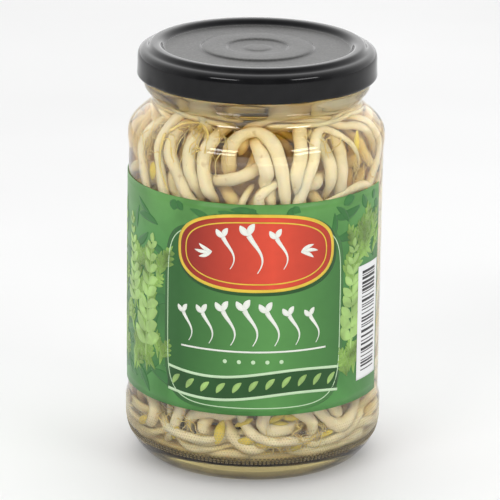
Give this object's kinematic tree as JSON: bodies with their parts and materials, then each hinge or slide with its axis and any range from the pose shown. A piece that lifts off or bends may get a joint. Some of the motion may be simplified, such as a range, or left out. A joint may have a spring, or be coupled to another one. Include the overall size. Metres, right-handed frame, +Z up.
{
  "type": "jar of bean sprouts",
  "caption": "Glass jar of bean sprouts in brine, with a wrap-round paper label and a metal lid that turns open on its thread.",
  "frame": {"origin": "centre of the jar's base, on the plane that it stands on", "axes": "+Z up the jar's axis, -Y to the front of the label, +X to the right seen from the front"},
  "size_m": [0.0738, 0.0738, 0.1208],
  "materials": {
    "glass": "polished",
    "brine": "gloss",
    "sprouts": "satin",
    "label": "satin",
    "seal": "matte",
    "lid": "gloss"
  },
  "bodies": {
    "jar_body": {"jar": "glass", "brine": "brine", "sprouts": "sprouts", "label": "label"},
    "seal_body": {"seal_ring": "seal"},
    "lid_body": {"lid": "lid"}
  },
  "joints": [
    {"name": "lid_rise", "type": "slide", "parent": "jar_body", "child": "seal_body", "axis": [0, 0, 1], "range_m": [0, 0.00086]},
    {"name": "lid_turn", "type": "hinge", "parent": "seal_body", "child": "lid_body", "pos_m": [0, 0, 0.115], "axis": [0, 0, 1], "range_deg": [0, 62]}
  ],
  "couplings": [
    {"joint": "lid_turn", "follows": "lid_rise", "rad_per_m": 1256.6}
  ]
}
